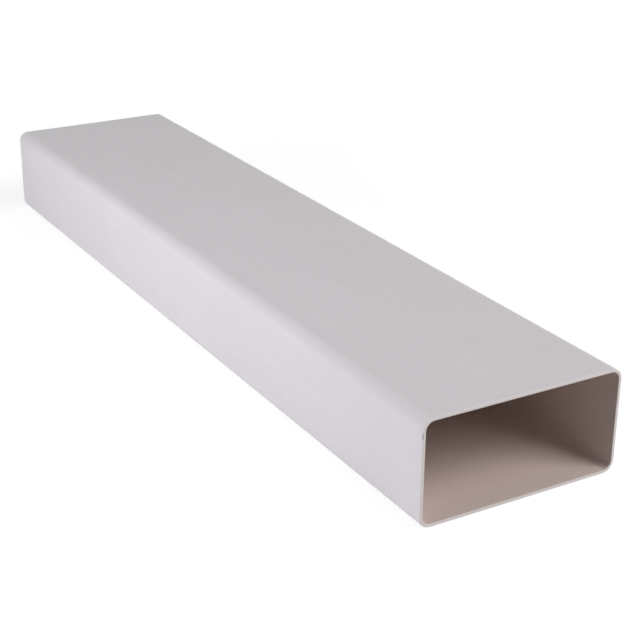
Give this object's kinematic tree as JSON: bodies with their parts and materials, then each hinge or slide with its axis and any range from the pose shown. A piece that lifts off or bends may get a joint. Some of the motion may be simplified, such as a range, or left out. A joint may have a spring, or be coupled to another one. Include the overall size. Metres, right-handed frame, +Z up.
{
  "type": "flat channel duct",
  "caption": "Flat rectangular ventilation duct with rounded long corners and open sawn ends, extruded whole; it carries air and pushes into channel connectors.",
  "frame": {"origin": "middle of the underside, halfway along the length", "axes": "+Y along the length, +X across the broad faces, +Z up out of the broad top face"},
  "size_m": [0.11, 0.5, 0.054],
  "materials": {
    "extruded_pvc": "satin off-white rigid PVC as extruded, with chalkier sawn ends"
  },
  "bodies": {
    "root": {"flat_channel_duct": "extruded_pvc"}
  },
  "joints": []
}
